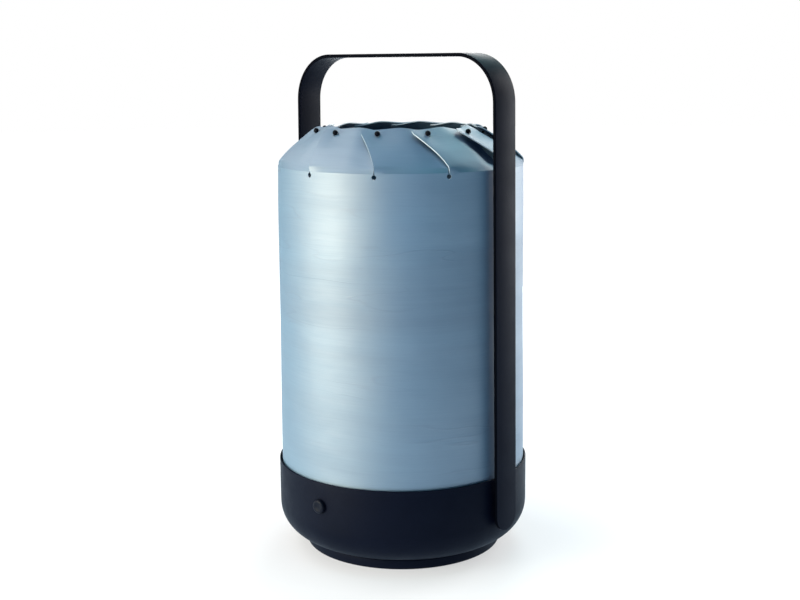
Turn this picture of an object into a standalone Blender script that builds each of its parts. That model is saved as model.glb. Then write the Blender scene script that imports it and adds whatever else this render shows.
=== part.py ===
"""Cordless table lantern: a riveted veneer shade in a round metal cup with a strap handle.

Frame: +Z up, origin on the ground under the middle of the foot, handle legs on +X and -X.
Lengths are in millimetres and angles in degrees; MM turns lengths into metres.
"""
import math

import bmesh
import bpy
from mathutils import Matrix, Vector

MM = 0.001
GAP = 0.3                      # clearance kept between neighbouring pieces

# Base cup: one deep-drawn shell with a large rounded lower corner
CUP_RADIUS = 75.0
CUP_WALL = 0.9
CUP_RIM_Z = 53.0
CUP_CORNER_RADIUS = 19.5
CUP_FLOOR_Z = 6.5

# Foot
FOOT_RADIUS = 59.0
FOOT_BOTTOM_Z = 0.6
PAD_RADIUS = 55.5
PAD_THICKNESS = 1.8

# Deck, the tray that closes the cup and carries the shade
DECK_Z = 45.0
DECK_THICKNESS = 1.6
DECK_RADIUS = 73.4
DECK_LIP_INNER = 70.4
DECK_LIP_OUTER = 71.9
DECK_LIP_TOP_Z = 56.0
CORE_HOLE_RADIUS = 4.0

# Shade: a rolled sheet, its upper part slit into petals that lap to the left
SHEET = 0.6
SHADE_BOTTOM_Z = 47.0
SHADE_BOTTOM_RADIUS = 73.1
SHADE_TOP_RADIUS = 71.55
CREASE_Z = 229.0
SLIT_DEPTH = 1.6               # how far the slits run below the crease
SLIT_WIDTH = 0.6
SLIT_HOLE_RADIUS = 1.3
SLIT_HOLE_Z = 227.2
PETALS = 11
FIRST_SLIT = -59.35
PETAL_LENGTH = 37.9
PETAL_CORNER = 4.5
FOLD_LEAN = 33.0               # degrees from vertical, right above the crease
CURL_LEAN = 15.0               # what the lean gains over the first few millimetres
CURL_REACH = 5.7
CURVE_LEAN = 0.36              # what it gains for each millimetre from there on
FLAT_SHARE = 0.8               # how much of the wall's roundness a petal loses
FLAT_REACH = 4.9
PETAL_SKEW = 5.5               # sideways lean to the left, 34 mm up
PETAL_LIFT = 0.4               # how far a petal's left edge stands off low down
PETAL_TUCK = 1.0               # how far the rivet pulls the sheet down
PETAL_DROP = 1.1               # how far the right edge dips under its neighbour
PETAL_TIP_DROP = 0.85          # how much further it dips at the rivet
SLACK_PETAL = 1                # one petal's right edge has sprung away from its neighbour
PETAL_SLACK = 3.4

# Rivets that pin each petal's corner to its left neighbour
RIVET_OFFSET = -3.7            # from the slit
RIVET_REACH = 32.5             # distance above the crease, along the sheet
RIVET_HOLE_RADIUS = 1.15

# Handle strap
STRAP_WIDTH = 18.0
STRAP_THICKNESS = 2.0
STRAP_HALF_SPAN = 77.3
STRAP_TOP_Z = 292.6
STRAP_BEND_RADIUS = 27.2
STRAP_END_Z = 22.4
STRAP_SPLAY = 3.0                # how far a leg leans out by its lower end
STUD_SHOULDER_RADIUS = 4.0
STUD_RADIUS = 2.0
STUD_HEIGHTS = (28.0, 40.0)

# Push button and its switch, on one radial axis
BUTTON_ANGLE = -87.0
BUTTON_Z = 39.0
BUTTON_RADIUS = 4.0
BUTTON_PROUD = 2.3

# Standoffs between the foot, the cup floor and the deck
STANDOFF_CIRCLE = 46.0
STANDOFF_ANGLES = (0.0, 120.0, 240.0)

# Battery cells
CELL_RADIUS = 9.2
CELL_LENGTH = 65.0
CELL_OFFSET_Y = 9.8
CELL_Z = 18.7
CRADLE_TOP_Z = 16.0
BATTERY_SCREW_Y = 23.5

# Control board and charging port, on the rear wall
BOARD_Z = 26.4
BOARD_THICKNESS = 1.6
PORT_Z = 29.9
SPACER_XY = ((12.0, 50.0), (-12.0, 50.0))

# Light engine
SPREADER_RADIUS = 36.0
LED_CIRCLE = 18.0
DIFFUSER_RADIUS = 39.8
DIFFUSER_WALL = 1.8
DIFFUSER_TOP_Z = 150.0


# ---------------------------------------------------------------- helpers

def clear_scene():
    for item in list(bpy.data.objects):
        bpy.data.objects.remove(item, do_unlink=True)


def new_collection(name):
    collection = bpy.data.collections.new(name)
    bpy.context.scene.collection.children.link(collection)
    return collection


def material(name, colour, roughness, metallic=0.0):
    mat = bpy.data.materials.new(name)
    mat.use_nodes = True
    shader = mat.node_tree.nodes["Principled BSDF"]
    shader.inputs["Base Color"].default_value = (*colour, 1.0)
    shader.inputs["Roughness"].default_value = roughness
    shader.inputs["Metallic"].default_value = metallic
    return mat


def add_object(name, mesh, mat=None, collection=None):
    item = bpy.data.objects.new(name, mesh)
    (collection or PARTS).objects.link(item)
    if mat:
        item.data.materials.append(mat)
    return item


def arc(centre_x, centre_y, radius, start, end, count):
    """Points on a circle from angle start to end, both included."""
    points = []
    for index in range(count + 1):
        angle = math.radians(start + (end - start) * index / count)
        points.append((centre_x + radius * math.cos(angle), centre_y + radius * math.sin(angle)))
    return points


def turned(name, profile, steps, mat=None, ring=False, collection=None):
    """Turn a (radius, height) profile, listed down its outer side, about local Z."""
    mesh = bpy.data.meshes.new(name)
    verts = [(radius * MM, 0.0, height * MM) for radius, height in profile]
    edges = [(index, index + 1) for index in range(len(verts) - 1)]
    if ring:
        edges.append((len(verts) - 1, 0))
    mesh.from_pydata(verts, edges, [])
    item = add_object(name, mesh, mat, collection)
    screw = item.modifiers.new("turn", "SCREW")
    screw.steps = steps
    screw.render_steps = steps
    screw.use_merge_vertices = True
    screw.merge_threshold = 0.00001
    screw.use_smooth_shade = False
    return item


def box(name, size, centre, mat=None, collection=None):
    bm = bmesh.new()
    bmesh.ops.create_cube(bm, size=1.0)
    bmesh.ops.scale(bm, vec=[side * MM for side in size], verts=bm.verts)
    mesh = bpy.data.meshes.new(name)
    bm.to_mesh(mesh)
    bm.free()
    item = add_object(name, mesh, mat, collection)
    item.location = [value * MM for value in centre]
    return item


def rod(name, radius, length, segments=16, mat=None, collection=None):
    """A cylinder along local Z, centred on its origin."""
    bm = bmesh.new()
    bmesh.ops.create_cone(bm, cap_ends=True, segments=segments, radius1=radius * MM,
                          radius2=radius * MM, depth=length * MM)
    mesh = bpy.data.meshes.new(name)
    bm.to_mesh(mesh)
    bm.free()
    return add_object(name, mesh, mat, collection)


def mesh_from_curve(curve_item, mat=None, collection=None):
    """Replace a curve object by a welded mesh object of the same name."""
    bpy.context.view_layer.update()
    graph = bpy.context.evaluated_depsgraph_get()
    mesh = bpy.data.meshes.new_from_object(curve_item.evaluated_get(graph))
    bm = bmesh.new()
    bm.from_mesh(mesh)
    bmesh.ops.remove_doubles(bm, verts=bm.verts, dist=0.00001)
    bm.to_mesh(mesh)
    bm.free()
    name = curve_item.name
    place = curve_item.matrix_world.copy()
    bpy.data.objects.remove(curve_item, do_unlink=True)
    item = add_object(name, mesh, mat, collection)
    item.matrix_world = place
    return item


def plate(name, outlines, thickness, mat=None, collection=None):
    """A flat plate in local XY from one outer outline and any holes, centred on local Z."""
    curve = bpy.data.curves.new(name, "CURVE")
    curve.dimensions = "2D"
    curve.fill_mode = "BOTH"
    curve.extrude = thickness * MM / 2
    for outline in outlines:
        spline = curve.splines.new("POLY")
        spline.points.add(len(outline) - 1)
        for point, (x, y) in zip(spline.points, outline):
            point.co = (x * MM, y * MM, 0.0, 1.0)
        spline.use_cyclic_u = True
    curve_item = bpy.data.objects.new(name, curve)
    (collection or PARTS).objects.link(curve_item)
    return mesh_from_curve(curve_item, mat, collection)


def smooth_route(points, per_span):
    """Catmull-Rom points through a short list of places."""
    places = [Vector(point) for point in points]
    places = [2 * places[0] - places[1]] + places + [2 * places[-1] - places[-2]]
    route = []
    for index in range(1, len(places) - 2):
        before, start, end, after = places[index - 1:index + 3]
        for step in range(per_span):
            t = step / per_span
            route.append(0.5 * (2 * start + (end - before) * t
                                + (2 * before - 5 * start + 4 * end - after) * t ** 2
                                + (3 * start - before - 3 * end + after) * t ** 3))
    route.append(places[-2])
    return route


def wire(name, points, radius, mat, parent=None):
    """A round wire through a list of points, with filled ends."""
    curve = bpy.data.curves.new(name, "CURVE")
    curve.dimensions = "3D"
    curve.bevel_depth = radius * MM
    curve.bevel_resolution = 1
    curve.use_fill_caps = True
    spline = curve.splines.new("POLY")
    spline.points.add(len(points) - 1)
    for point, place in zip(spline.points, points):
        point.co = (*(value * MM for value in place), 1.0)
    curve_item = bpy.data.objects.new(name, curve)
    PARTS.objects.link(curve_item)
    item = mesh_from_curve(curve_item, mat)
    item.parent = parent
    return item


def cut(target, cutter, operation="DIFFERENCE"):
    modifier = target.modifiers.new(cutter.name, "BOOLEAN")
    modifier.operation = operation
    modifier.solver = "EXACT"
    modifier.object = cutter
    cutter.hide_render = True
    cutter.display_type = "WIRE"


def drill(target, name, radius, low, high, segments=16):
    """Cut a round hole from one point to another."""
    low = Vector(low)
    high = Vector(high)
    cutter = rod(name, radius, (high - low).length, segments, collection=CUTTERS)
    turn = (high - low).to_track_quat("Z", "Y").to_matrix().to_4x4()
    cutter.matrix_world = Matrix.Translation((high + low) / 2 * MM) @ turn
    cut(target, cutter)


def screw(name, place, head_radius, head_height, shank_radius, length, mat):
    """A pan-head screw with a socket, its head's underside at place, pointing along local -Z."""
    socket = head_radius * 0.5
    profile = [(0.0, head_height * 0.35), (socket, head_height * 0.35), (socket, head_height),
               (head_radius * 0.8, head_height), (head_radius, head_height * 0.55),
               (head_radius, 0.0), (shank_radius, 0.0), (shank_radius, -length + shank_radius),
               (shank_radius * 0.4, -length), (0.0, -length)]
    item = turned(name, profile, 10, mat)
    item.matrix_world = place
    return item


def at(x, y, z):
    return Matrix.Translation(Vector((x, y, z)) * MM)


def polar(radius, angle, z=0.0):
    turn = math.radians(angle)
    return (radius * math.cos(turn), radius * math.sin(turn), z)


def outward(angle, radius, z):
    """A frame whose local +Z points out along a radius of the cup."""
    turn = Matrix.Rotation(math.radians(angle), 4, "Z") @ Matrix.Rotation(math.radians(90.0), 4, "Y")
    return at(*polar(radius, angle, z)) @ turn


def shade_smooth(item, angle=35.0):
    item.data.shade_smooth()
    item.data.set_sharp_from_angle(angle=math.radians(angle))


# ---------------------------------------------------------------- foot and cup

def foot_group():
    pad_profile = [(0.0, PAD_THICKNESS), (PAD_RADIUS, PAD_THICKNESS), (PAD_RADIUS, 0.4),
                   (PAD_RADIUS - 0.6, 0.0), (0.0, 0.0)]
    turned("foot_pad", pad_profile, 32, RUBBER)

    top = CUP_FLOOR_Z - GAP
    recess_z = PAD_THICKNESS + GAP
    recess_radius = PAD_RADIUS + 0.5
    profile = [(0.0, top), (FOOT_RADIUS - 0.8, top), (FOOT_RADIUS, top - 0.8),
               (FOOT_RADIUS, FOOT_BOTTOM_Z + 0.5), (FOOT_RADIUS - 0.5, FOOT_BOTTOM_Z),
               (recess_radius, FOOT_BOTTOM_Z), (recess_radius, recess_z), (0.0, recess_z)]
    foot = turned("foot_plate", profile, 40, BLACK)
    for index, angle in enumerate(STANDOFF_ANGLES, 1):
        x, y, _ = polar(STANDOFF_CIRCLE, angle)
        drill(foot, f"foot_screw_hole_{index}", 1.8, (x, y, 0), (x, y, top + 2))
        drill(foot, f"foot_counterbore_{index}", 3.4, (x, y, 0), (x, y, recess_z + 2.0))
        place = at(x, y, recess_z + 2.0 - GAP) @ Matrix.Rotation(math.pi, 4, "X")
        screw(f"foot_screw_{index}", place, 3.0, 1.6, 1.5, 11.0, STEEL)
    for index, x, y in floor_screw_places():
        drill(foot, f"foot_blind_hole_{index}", 1.9, (x, y, 3.2), (x, y, top + 2))
    return foot


def floor_screw_places():
    """Index and place of the screws that come down through the cup floor into the foot."""
    bracket_x, bracket_y, _ = polar(STANDOFF_CIRCLE, BUTTON_ANGLE)
    return [(1, 0.0, BATTERY_SCREW_Y), (2, 0.0, -BATTERY_SCREW_Y), (3, bracket_x, bracket_y)]


def base_cup():
    corner_x = CUP_RADIUS - CUP_CORNER_RADIUS
    corner_z = CUP_FLOOR_Z + CUP_CORNER_RADIUS
    inner = CUP_RADIUS - CUP_WALL
    inner_corner = CUP_CORNER_RADIUS - CUP_WALL
    profile = [(0.0, CUP_FLOOR_Z + CUP_WALL)]
    profile += arc(corner_x, corner_z, inner_corner, -90.0, 0.0, 5)
    profile += [(inner, CUP_RIM_Z), (CUP_RADIUS, CUP_RIM_Z)]
    profile += arc(corner_x, corner_z, CUP_CORNER_RADIUS, 0.0, -90.0, 7)
    profile += [(0.0, CUP_FLOOR_Z)]
    cup = turned("base_cup", profile, 60, BLACK)
    for index, angle in enumerate(STANDOFF_ANGLES, 1):
        x, y, _ = polar(STANDOFF_CIRCLE, angle)
        drill(cup, f"cup_floor_hole_{index}", 1.8, (x, y, 0), (x, y, 12))
    for index, x, y in floor_screw_places():
        drill(cup, f"cup_clamp_hole_{index}", 1.9, (x, y, 3), (x, y, 12))
    for side, angle in (("right", 0.0), ("left", 180.0)):
        for row, height in enumerate(STUD_HEIGHTS, 1):
            drill(cup, f"cup_stud_hole_{side}_{row}", STUD_RADIUS + 0.4,
                  polar(70, angle, height), polar(80, angle, height))
    drill(cup, "cup_button_hole", BUTTON_RADIUS + GAP,
          polar(70, BUTTON_ANGLE, BUTTON_Z), polar(80, BUTTON_ANGLE, BUTTON_Z), 24)
    slot = plate("cup_port_slot", [stadium(13.2, 7.4)], 10.0, collection=CUTTERS)
    slot.matrix_world = outward(90.0, CUP_RADIUS, PORT_Z)
    cut(cup, slot)
    return cup


def stadium(width, height, count=6):
    """Outline of a slot with round ends, its long side across local Y."""
    radius = height / 2
    reach = width / 2 - radius
    return arc(0.0, reach, radius, 0.0, 180.0, count) + arc(0.0, -reach, radius, 180.0, 360.0, count)


# ---------------------------------------------------------------- deck and light engine

def deck_group():
    top = DECK_Z + DECK_THICKNESS
    profile = [(CORE_HOLE_RADIUS, top), (DECK_LIP_INNER, top), (DECK_LIP_INNER, DECK_LIP_TOP_Z),
               (DECK_LIP_OUTER, DECK_LIP_TOP_Z), (DECK_LIP_OUTER, top), (DECK_RADIUS, top),
               (DECK_RADIUS, DECK_Z), (CORE_HOLE_RADIUS, DECK_Z)]
    deck = turned("inner_deck", profile, 48, MOULDED, ring=True)
    low = CUP_FLOOR_Z + CUP_WALL + GAP
    high = DECK_Z - GAP
    for index, angle in enumerate(STANDOFF_ANGLES, 1):
        x, y, _ = polar(STANDOFF_CIRCLE, angle)
        drill(deck, f"deck_hole_{index}", 1.8, (x, y, DECK_Z - 2), (x, y, top + 2), 12)
        post_profile = [(0.0, high - 9), (1.8, high - 9), (1.8, high), (3.5, high), (3.5, low),
                        (1.8, low), (1.8, low + 9), (0.0, low + 9)]
        post = turned(f"deck_standoff_{index}", post_profile, 12, STEEL)
        post.location = (x * MM, y * MM, 0.0)
        screw(f"deck_screw_{index}", at(x, y, top + GAP), 3.0, 1.9, 1.5, 9.0, STEEL)
    return top


def light_engine(deck_top):
    low = deck_top + GAP
    spreader = [(3.5, low + 2.5), (SPREADER_RADIUS, low + 2.5), (SPREADER_RADIUS, low), (3.5, low)]
    turned("heat_spreader", spreader, 24, ALUMINIUM, ring=True)
    board_low = low + 2.5 + GAP
    board = [(3.0, board_low + 1.6), (32.0, board_low + 1.6), (32.0, board_low), (3.0, board_low)]
    turned("led_board", board, 24, WHITE_BOARD, ring=True)
    chip_z = board_low + 1.6 + GAP + 0.6
    for index in range(3):
        x, y, _ = polar(LED_CIRCLE, 120.0 * index + 30.0)
        chip = box(f"led_chip_{index + 1}", (7.0, 7.0, 1.2), (x, y, chip_z), PHOSPHOR)
        chip.rotation_euler.z = math.radians(120.0 * index + 30.0)

    ring = [(40.2, 54.0), (42.0, 54.0), (42.0, low + 1.2), (42.4, low + 1.2), (42.4, low),
            (36.6, low), (36.6, low + 1.2), (40.2, low + 1.2)]
    turned("diffuser_ring", ring, 28, MOULDED, ring=True)
    foot_z = low + 1.2 + GAP
    dome = 14.0
    outer = DIFFUSER_RADIUS
    inner = DIFFUSER_RADIUS - DIFFUSER_WALL
    top = DIFFUSER_TOP_Z
    shell = [(0.0, top), (outer - dome, top)]
    shell += arc(outer - dome, top - dome, dome, 67.5, 0.0, 3)
    shell += [(outer, foot_z), (inner, foot_z)]
    shell += arc(outer - dome, top - dome, dome - DIFFUSER_WALL, 0.0, 67.5, 3)
    shell += [(outer - dome, top - DIFFUSER_WALL), (0.0, top - DIFFUSER_WALL)]
    turned("diffuser", shell, 28, OPAL)


# ---------------------------------------------------------------- shade

def ease(value):
    value = min(max(value, 0.0), 1.0)
    return value * value * (3 - 2 * value)


def petal_slope(reach):
    """Lean of a petal's centre line from vertical, in degrees."""
    return FOLD_LEAN + CURL_LEAN * (1.0 - math.exp(-reach / CURL_REACH)) + CURVE_LEAN * reach


def centre_line(reach):
    """Radius, height and lean of a petal's centre line at a distance above the crease."""
    if reach <= 0.0:
        return SHADE_TOP_RADIUS, CREASE_Z + reach, 0.0
    radius = SHADE_TOP_RADIUS
    height = CREASE_Z
    steps = 60
    for index in range(steps):
        lean = math.radians(petal_slope(reach * (index + 0.5) / steps))
        radius -= math.sin(lean) * reach / steps
        height += math.cos(lean) * reach / steps
    return radius, height, math.radians(petal_slope(reach))


def petal_point(petal, reach, across):
    """A point of the sheet's middle surface, in world millimetres."""
    radius, height, lean = centre_line(reach)
    above = max(reach, 0.0)
    round_part = 1.0 - FLAT_SHARE * ease(above / FLAT_REACH)
    turn = across / SHADE_TOP_RADIUS
    side = round_part * SHADE_TOP_RADIUS * math.sin(turn) + (1.0 - round_part) * across
    side -= PETAL_SKEW * (above / 34.0) ** 1.43
    raise_left = PETAL_LIFT * ease(above / 4.8) * (1.0 - ease((above - 7.3) / 17.0))
    dimple = PETAL_TUCK * ease((above - 14.0) / 18.0) * ease((4.0 - across) / 15.5)
    dimple *= 1.0 - 0.7 * ease((-11.5 - across) / 8.6)
    off = -round_part * SHADE_TOP_RADIUS * (1.0 - math.cos(turn))
    off += raise_left * ease((4.0 - across) / 24.0) - dimple
    dip = PETAL_DROP * ease(above / 7.0) + PETAL_TIP_DROP * ease((above - 14.0) / 18.0)
    if petal == SLACK_PETAL:
        dip += PETAL_SLACK * ease(above / 9.0) * (1.0 - ease((above - 18.0) / 12.0))
    off -= dip * ease((across - 2.0) / 16.0)
    out = radius + off * math.cos(lean)
    place = Vector((out, side, height + off * math.sin(lean)))
    centre = FIRST_SLIT + (petal + 0.5) * 360.0 / PETALS
    return Matrix.Rotation(math.radians(centre), 3, "Z") @ place


def petal_columns():
    """Distances across a petal's root, closer together at its left corner."""
    half = math.pi * SHADE_TOP_RADIUS / PETALS - SLIT_WIDTH / 2
    shares = (0.0, 0.03, 0.1, 0.24, 0.44, 0.64, 0.83, 1.0)
    return [-half + 2 * half * share for share in shares]


def petal_end(across):
    """Length of a petal at a column, shortened round its left corner."""
    half = math.pi * SHADE_TOP_RADIUS / PETALS - SLIT_WIDTH / 2
    inset = across + half
    if inset >= PETAL_CORNER:
        return PETAL_LENGTH
    return PETAL_LENGTH - PETAL_CORNER + math.sqrt(PETAL_CORNER ** 2 - (PETAL_CORNER - inset) ** 2)


def shade():
    columns = petal_columns()
    reaches = (0.0, 0.06, 0.15, 0.27, 0.44, 0.64, 0.84, 1.0)
    body_levels = (0.0, 1.0)
    bm = bmesh.new()
    body_rows = [[] for _ in body_levels]
    petals = []
    for petal in range(PETALS):
        rows = []
        for across in columns:
            root = petal_point(petal, -SLIT_DEPTH, across)
            for row, level in zip(body_rows, body_levels):
                z = SHADE_BOTTOM_Z + (root.z - SHADE_BOTTOM_Z) * level
                spread = SHADE_BOTTOM_RADIUS + (SHADE_TOP_RADIUS - SHADE_BOTTOM_RADIUS) * level
                scale = spread / math.hypot(root.x, root.y)
                row.append(bm.verts.new(Vector((root.x * scale, root.y * scale, z)) * MM))
            column = [body_rows[-1][-1]]
            for reach in reaches:
                place = petal_point(petal, reach * petal_end(across), across)
                column.append(bm.verts.new(place * MM))
            rows.append(column)
        petals.append(rows)
    count = len(body_rows[0])
    for low, high in zip(body_rows, body_rows[1:]):
        for index in range(count):
            after = (index + 1) % count
            bm.faces.new((low[index], low[after], high[after], high[index]))
    for rows in petals:
        for left, right in zip(rows, rows[1:]):
            for index in range(len(left) - 1):
                bm.faces.new((left[index], right[index], right[index + 1], left[index + 1]))
    mesh = bpy.data.meshes.new("shade")
    bm.to_mesh(mesh)
    bm.free()
    item = add_object("shade", mesh, VENEER)
    shell = item.modifiers.new("sheet", "SOLIDIFY")
    shell.thickness = SHEET * MM
    shell.offset = 0.0
    for petal in range(PETALS):
        angle = FIRST_SLIT + petal * 360.0 / PETALS
        drill(item, f"slit_hole_{petal + 1}", SLIT_HOLE_RADIUS,
              polar(68, angle, SLIT_HOLE_Z), polar(76, angle, SLIT_HOLE_Z), 10)
    for petal in range(PETALS):
        rivet(item, petal)
    shade_smooth(item)


def rivet_frame(petal):
    """Place on the upper sheet and outward direction for the rivet at a petal's left corner."""
    target = math.radians(FIRST_SLIT + petal * 360.0 / PETALS + RIVET_OFFSET)
    columns = petal_columns()
    best = None
    for index in range(200):
        across = columns[0] + (columns[-1] - columns[0]) * index / 200
        place = petal_point(petal, RIVET_REACH, across)
        miss = abs(math.remainder(math.atan2(place.y, place.x) - target, math.tau))
        if best is None or miss < best[0]:
            best = (miss, across, place)
    _, across, place = best
    up = petal_point(petal, RIVET_REACH + 1.0, across) - petal_point(petal, RIVET_REACH - 1.0, across)
    right = petal_point(petal, RIVET_REACH, across + 1.0) - petal_point(petal, RIVET_REACH, across - 1.0)
    return place, right.cross(up).normalized()


def rivet(sheet, petal):
    """A domed rivet through both sheets, with the hole that it needs."""
    place, axis = rivet_frame(petal)
    name = f"rivet_{petal + 1:02d}"
    drill(sheet, f"{name}_hole", RIVET_HOLE_RADIUS, place - axis * 4.0, place + axis * 2.5, 10)
    seat = SHEET / 2 + 2 * GAP
    tail = -(2.2 + SHEET / 2)
    profile = [(0.0, seat + 2.1), (1.0, seat + 1.8), (1.6, seat + 0.9), (1.3, seat), (0.75, seat),
               (0.75, tail), (1.5, tail), (1.5, tail - 0.6), (0.0, tail - 0.6)]
    item = turned(name, profile, 8, RIVET_BLACK)
    item.matrix_world = Matrix.Translation(place * MM) @ axis.to_track_quat("Z", "Y").to_matrix().to_4x4()


# ---------------------------------------------------------------- handle

def handle_group():
    outer = STRAP_HALF_SPAN
    inner = outer - STRAP_THICKNESS
    bend = STRAP_BEND_RADIUS
    inner_bend = bend - STRAP_THICKNESS
    corner_x = outer - bend
    corner_z = STRAP_TOP_Z - bend
    low = STRAP_END_Z - 1.0
    outline = [(outer + STRAP_SPLAY, low)]
    outline += arc(corner_x, corner_z, bend, 0.0, 90.0, 10)
    outline += arc(-corner_x, corner_z, bend, 90.0, 180.0, 10)
    outline += [(-outer - STRAP_SPLAY, low), (-inner - STRAP_SPLAY, low)]
    outline += arc(-corner_x, corner_z, inner_bend, 180.0, 90.0, 10)
    outline += arc(corner_x, corner_z, inner_bend, 90.0, 0.0, 10)
    outline += [(inner + STRAP_SPLAY, low)]
    strap = plate("handle_strap", [outline], STRAP_WIDTH, BLACK)
    strap.rotation_euler.x = math.radians(90.0)

    half = STRAP_WIDTH / 2
    top = STRAP_TOP_Z + 5.0
    round_z = STRAP_END_Z + half
    end_outline = arc(0.0, round_z, half, 180.0, 360.0, 14) + [(half, top), (-half, top)]
    trim = plate("strap_end_trim", [end_outline], 2 * outer + 20.0, collection=CUTTERS)
    trim.rotation_euler = (math.radians(90.0), 0.0, math.radians(90.0))
    cut(strap, trim, "INTERSECT")

    plate_x = inner - 3.05
    for side, sign in (("right", 1.0), ("left", -1.0)):
        middle = sum(STUD_HEIGHTS) / 2
        backing = box(f"backing_plate_{side}", (1.5, 12.0, 20.0), (sign * plate_x, 0.0, middle + 0.5),
                      STEEL)
        for row, height in enumerate(STUD_HEIGHTS, 1):
            lean = STRAP_SPLAY * (corner_z - height) / (corner_z - low)
            bearing = 0.0 if sign > 0 else 180.0
            shoulder = rod(f"shoulder_{side}_{row}", STUD_SHOULDER_RADIUS, lean + 0.6, 20,
                           collection=CUTTERS)
            shoulder.matrix_world = outward(bearing, inner + (lean + 0.6) / 2, height)
            cut(strap, shoulder, "UNION")
            stud = rod(f"stud_{side}_{row}", STUD_RADIUS, 9.2 + lean, 12, collection=CUTTERS)
            stud.matrix_world = outward(bearing, inner + 1.0 + lean - (9.2 + lean) / 2, height)
            cut(strap, stud, "UNION")
            drill(backing, f"backing_hole_{side}_{row}", STUD_RADIUS + GAP,
                  (sign * (plate_x - 3), 0.0, height), (sign * (plate_x + 3), 0.0, height), 12)
            hexagon = arc(0.0, 0.0, 4.0, 0.0, 300.0, 5)
            bore = arc(0.0, 0.0, STUD_RADIUS + GAP, 0.0, 330.0, 11)
            nut = plate(f"handle_nut_{side}_{row}", [hexagon, bore], 3.0, STEEL)
            nut.matrix_world = outward(bearing, plate_x - 0.75 - GAP - 1.5, height)


# ---------------------------------------------------------------- button and switch

def button_group():
    axis = bpy.data.objects.new("button_axis", None)
    PARTS.objects.link(axis)
    axis.matrix_world = outward(BUTTON_ANGLE, CUP_RADIUS, BUTTON_Z)

    flange_front = -CUP_WALL - GAP
    flange_back = flange_front - 1.0
    proud = BUTTON_PROUD
    stem_end = -8.6
    cap = [(0.0, proud), (2.2, proud - 0.08), (3.5, proud - 0.35), (BUTTON_RADIUS, proud - 0.9),
           (BUTTON_RADIUS, flange_front), (4.7, flange_front), (4.7, flange_back),
           (1.5, flange_back), (1.5, stem_end), (0.0, stem_end)]
    button = turned("push_button", cap, 16, BUTTON_BLACK)
    button.parent = axis

    guide = [(5.0, -1.6), (5.6, -1.6), (5.6, -6.3), (5.0, -6.3)]
    turned("button_guide", guide, 16, MOULDED, ring=True).parent = axis

    turns = 3.0
    per_turn = 8
    coil = []
    for index in range(int(turns * per_turn) + 1):
        angle = math.tau * index / per_turn
        height = -5.95 + (3.4 - 0.25) * index / (turns * per_turn)
        coil.append((3.3 * math.cos(angle), 3.3 * math.sin(angle), height))
    wire("button_spring", coil, 0.25, STEEL, axis)

    body = box("switch_body", (8.0, 8.0, 7.3), (0.0, 0.0, -8.7 - 3.65), MOULDED)
    body.parent = axis
    for name, radius, floor in (("switch_mouth", 2.0, -10.5), ("switch_bore", 1.6, -15.2)):
        bore = rod(name, radius, -8.0 - floor, 16, collection=CUTTERS)
        bore.parent = axis
        bore.location.z = (floor - 8.0) / 2 * MM
        cut(body, bore)
    plunger = [(0.0, stem_end - GAP), (1.2, stem_end - GAP), (1.2, -13.6), (0.0, -13.6)]
    turned("switch_plunger", plunger, 12, PLUNGER_RED).parent = axis

    low = CUP_FLOOR_Z + CUP_WALL + GAP
    front = CUP_RADIUS - 6.6
    back = front - 1.8
    outline = [(40.0, low), (57.0, low), (front, 15.0), (front, 44.6), (back, 44.6), (back, 16.5),
               (56.3, low + 1.8), (40.0, low + 1.8)]
    bracket = plate("switch_bracket", [outline], 12.0, STEEL)
    bracket.matrix_world = (Matrix.Rotation(math.radians(BUTTON_ANGLE), 4, "Z")
                            @ Matrix.Rotation(math.radians(90.0), 4, "X"))
    drill(bracket, "bracket_stem_hole", 1.9, polar(60, BUTTON_ANGLE, BUTTON_Z),
          polar(72, BUTTON_ANGLE, BUTTON_Z), 16)
    x, y, _ = polar(STANDOFF_CIRCLE, BUTTON_ANGLE)
    drill(bracket, "bracket_foot_hole", 1.9, (x, y, 4), (x, y, 14), 12)
    screw("bracket_screw", at(x, y, low + 1.8 + GAP), 2.8, 1.8, 1.5, 5.6, STEEL)


# ---------------------------------------------------------------- battery and electronics

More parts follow.
